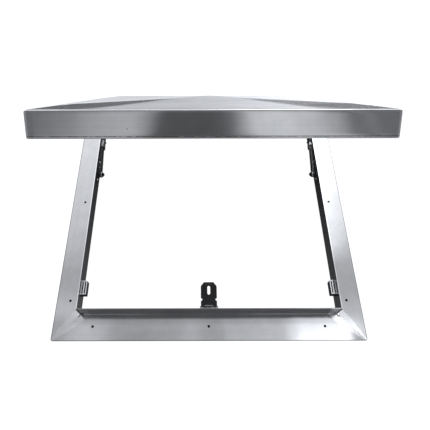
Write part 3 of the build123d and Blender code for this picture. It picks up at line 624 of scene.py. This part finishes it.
def lid_shell():
    """The lid as one folded sheet: hanging facets, ridges, round folds, skirt and hem."""
    mesh = bmesh.new()
    cap = LID_HALF - FOLD_RADIUS
    top = mesh.verts.new(opened((0.0, 0.0, lid_height(0.0, 0.0, cap))))
    previous = None
    for half, radius, height, drop in lid_rings():
        ring = []
        for x, y in square_ring(half, radius):
            z = lid_height(x, y, cap) - drop if height is None else height
            ring.append(mesh.verts.new(opened((x, y, z))))
        for index in range(len(ring)):
            after = (index + 1) % len(ring)
            if previous is None:
                mesh.faces.new((top, ring[index], ring[after]))
            else:
                mesh.faces.new((previous[index], ring[index], ring[after], previous[after]))
        previous = ring
    under = mesh.verts.new(opened((0.0, 0.0, lid_height(0.0, 0.0, cap) - LID_SHEET)))
    for index in range(len(previous)):
        mesh.faces.new((previous[index], under, previous[(index + 1) % len(previous)]))
    shell = add_object(mesh, "lid_shell", LID_STEEL)
    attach(shell, "lid")
    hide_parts("lid_pan")


def bead(mesh, start, end, across, up, width, height, ripple):
    """Adds a rippled weld bead of half-round section, thin at both ends."""
    start, end = Vector(start), Vector(end)
    length = (end - start).length
    rows = max(BEAD_LEAST_ROWS, round(length / BEAD_ROW))
    previous = None
    for row in range(rows + 1):
        share = row / rows
        size = min(1.0, BEAD_END + length * min(share, 1.0 - share) / width)
        size *= 1.0 + ripple * math.sin(share * length / BEAD_PITCH * 2 * math.pi)
        ring = []
        for step in range(BEAD_STEPS + 1):
            angle = math.pi * step / BEAD_STEPS
            sideways = Vector(across) * math.cos(angle) * width * size
            upward = Vector(up) * math.sin(angle) * height * size
            ring.append(mesh.verts.new(start.lerp(end, share) + (sideways + upward)))
        if previous:
            for step in range(BEAD_STEPS):
                mesh.faces.new((previous[step], previous[step + 1], ring[step + 1], ring[step]))
        previous = ring


def weld_seams():
    """At each corner: a bead up the upstand, two short ones at its foot and one out on to the mitre."""
    mesh = bmesh.new()
    up = (0, 0, 1)
    half = UPSTAND_HALF
    mitre = half + MITRE_BEAD_RUN
    edge = half - EDGE_INSET
    start = half + FOOT_BEAD_START
    end = half - FOOT_BEAD_RUN
    for sx in (-1, 1):
        for sy in (-1, 1):
            slant = Vector((sx, -sy, 0.0)).normalized()
            out = Vector((sx, sy, 0.0)).normalized()
            bead(mesh, (sx * half, sy * half, FLANGE_TOP), (sx * mitre, sy * mitre, FLANGE_TOP),
                 slant, up, *MITRE_BEAD)
            bead(mesh, (sx * edge, sy * edge, FLANGE_TOP), (sx * edge, sy * edge, UPSTAND_TOP - EDGE_INSET),
                 slant, out, *EDGE_BEAD)
            bead(mesh, (sx * start, sy * half, FLANGE_TOP), (sx * end, sy * half, FLANGE_TOP),
                 (0, sy, 0), up, *FOOT_BEAD)
            bead(mesh, (sx * half, sy * start, FLANGE_TOP), (sx * half, sy * end, FLANGE_TOP),
                 (sx, 0, 0), up, *FOOT_BEAD)
    seams = add_object(mesh, "frame_weld_seams", WELD)
    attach(seams, "frame")
    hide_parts("frame_weld_beads")


def overhead_light(net, slope, lean):
    """The ceiling: bands that run away from the front, slanting, and others across them further back."""
    slant = net.math("MULTIPLY", net.rescale(slope, *SLANT_DEPTH, 0.0, SLANT_SHIFT),
                     net.rescale(lean, *SLANT_START))
    slant = net.math("MULTIPLY", slant, net.rescale(lean, *SLANT_END, 1.0, 0.0))
    across = net.curve(net.math("SUBTRACT", lean, slant), OVERHEAD_ACROSS)
    near_window = net.math("MULTIPLY", net.rescale(slope, *NEAR_WINDOW_START, smooth=True),
                           net.rescale(slope, *NEAR_WINDOW_END, smooth=True))
    overhead = net.blend(near_window, net.curve(slope, OVERHEAD_ALONG), across)
    skew = net.math("MULTIPLY_ADD", lean, -RIGHT_FAR_SKEW, slope)
    right_far = net.math("MULTIPLY", net.curve(skew, RIGHT_FAR),
                         net.rescale(lean, *RIGHT_FAR_SIDE, smooth=True))
    right_far = net.math("MULTIPLY", right_far, net.rescale(slope, *RIGHT_FAR_DEPTH, smooth=True))
    return net.math("MULTIPLY_ADD", right_far, RIGHT_FAR_GAIN, overhead)


def front_light(net, side, depth, slope):
    """Upright bands in front, mixed with one grey where they are low."""
    forward = net.math("MAXIMUM", net.math("MULTIPLY", depth, -1.0), LEAST_FORWARD)
    bands = net.curve(net.math("DIVIDE", side, forward), FRONT_BANDS)
    return net.blend(net.rescale(slope, *LOW_FRONT, smooth=True), grey(LOW_FRONT_TONE), bands)


def light_room():
    """The room's light as a function of direction, for the reflections. The camera itself sees white."""
    world = bpy.data.worlds.new("room")
    bpy.context.scene.world = world
    world.use_nodes = True
    net = Net(world.node_tree)
    direction = net.node("TexCoord").outputs["Generated"]
    side, depth, height = net.node("SeparateXYZ", Vector=direction).outputs
    steep = net.math("MAXIMUM", net.math("ABSOLUTE", height), LEAST_HEIGHT)
    slope = net.math("DIVIDE", depth, steep)
    lean = net.math("DIVIDE", side, steep)
    upper = net.blend(net.rescale(slope, *FRONT_START, smooth=True), overhead_light(net, slope, lean),
                      front_light(net, side, depth, slope))
    lower = net.math("MULTIPLY", net.curve(slope, BELOW), net.rescale(lean, *BELOW_SIDE, smooth=True))
    colour = net.blend(net.rescale(height, *HORIZON), lower, upper)
    cold = net.node("Mix", {"data_type": "RGBA", "blend_type": "MULTIPLY"})
    for socket, value in ((cold.inputs[0], 1.0), (cold.inputs[6], colour), (cold.inputs[7], COLD_LIGHT)):
        net.feed(socket, value)
    seen = net.blend(net.node("LightPath").outputs["Is Camera Ray"], cold.outputs[2], grey(1.0))
    background = net.node("Background", Color=seen, Strength=1.0)
    net.node("OutputWorld", Surface=background.outputs[0])


def pale_floor():
    """A pale floor that the camera sees and the steel doesn't, with painted shade where the flange lies on
    it.
    """
    data = bpy.data.meshes.new("floor")
    halves = (FLOOR_HALF, DECK_SHADE_OUTER, DECK_SHADE_INNER)
    turns = ((-1, -1), (1, -1), (1, 1), (-1, 1))
    corners = [(x * half, y * half, 0.0) for half in halves for x, y in turns]
    faces = [(ring + side, ring + (side + 1) % 4, ring + 4 + (side + 1) % 4, ring + 4 + side)
             for ring in (0, 4) for side in range(4)]
    data.from_pydata(corners, [], faces + [(8, 9, 10, 11)])
    floor = bpy.data.objects.new("floor", data)
    bpy.context.scene.collection.objects.link(floor)
    floor.location.z = -FLOOR_DROP
    material = bpy.data.materials.new("floor_white")
    material.use_nodes = True
    net = Net(material.node_tree)
    diffuse = net.node("BsdfDiffuse", Color=grey(0.15))
    glow = net.node("Emission", Color=grey(1.0), Strength=1.0)
    both = net.node("AddShader")
    net.feed(both.inputs[0], diffuse.outputs[0])
    net.feed(both.inputs[1], glow.outputs[0])
    net.node("OutputMaterial", Surface=both.outputs[0])
    data.materials.append(material)
    # Painted shade: a near-black ring under the flange, seen through the fixing holes.
    data.materials.append(plain_metal("deck_shade", 0.01, 0.8, metallic=0.0))
    for polygon in list(data.polygons)[4:8]:
        polygon.material_index = 1
    floor.visible_glossy = False


def place_camera():
    data = bpy.data.cameras.new("camera")
    data.sensor_width = SENSOR_WIDTH
    data.lens = CAMERA_LENS
    data.shift_x, data.shift_y = CAMERA_SHIFT
    data.clip_start = 0.01
    camera = bpy.data.objects.new("camera", data)
    bpy.context.scene.collection.objects.link(camera)
    camera.location = CAMERA_PLACE
    camera.rotation_euler = [math.radians(angle) for angle in CAMERA_TURN]
    bpy.context.scene.camera = camera


# rim_tone and foot_shade paint light and shade here: a dark top-edge line and painted shade on and along the
# upstand; the side frames get a painted highlight on the top edge.
STEEL_X = brushed("brushed_steel_x", "x", 0.085, rim_tone=-0.30, foot_shade=0.17)
STEEL_Y = brushed("brushed_steel_y", "y", 0.085)
LID_STEEL = brushed("lid_steel", "x", 0.08, drawn=0.95, wave=0.0004, lid=True)
BRIGHT = plain_metal("bright_steel", 0.75, 0.22)
BLACK = plain_metal("black_steel", 0.012, 0.42, metallic=0.0)
HINGE = plain_metal("hinge_steel", 0.5, 0.3)
RUBBER = plain_metal("seal_rubber", 0.02, 0.6, metallic=0.0)
WELD = weld_metal("weld")
CATCH = catch_metal("catch_steel")
STAY = worn_metal("stay_steel")
DARK_NUT = plain_metal("nut_steel", 0.05, 0.15)
BAR = plain_metal("bar_steel", 0.09, 0.3)
LATCH = latch_paint("latch_black")
BY_SLOT = {"frame_steel": STEEL_X, "lid_steel": LID_STEEL, "weld": WELD, "hinge_steel": HINGE,
           "bright_steel": BRIGHT, "dark_steel": BLACK, "magnet": CATCH, "seal_rubber": RUBBER}
BY_SIDE = {"frame_{}": STEEL_Y, "catch_{}_case": CATCH, "catch_{}_poles": CATCH, "stay_{}_sleeve": STAY,
           "stay_{}_cap_nut": DARK_NUT, "stay_{}_washer": BRIGHT, "stay_{}_bar": BAR,
           "stay_{}_lock_spring": DARK_NUT, "stay_{}_spring_rivets": DARK_NUT, "stay_{}_guide_pin": DARK_NUT}

for name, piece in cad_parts.items():
    dress(name, BY_SLOT[piece.data.materials[0].name])
dress("latch_plate", LATCH)
for side in ("left", "right"):
    for pattern, material in BY_SIDE.items():
        dress(pattern.format(side), material)

bpy.context.scene.view_settings.view_transform = "Standard"
lid_shell()
weld_seams()
light_room()
pale_floor()
place_camera()
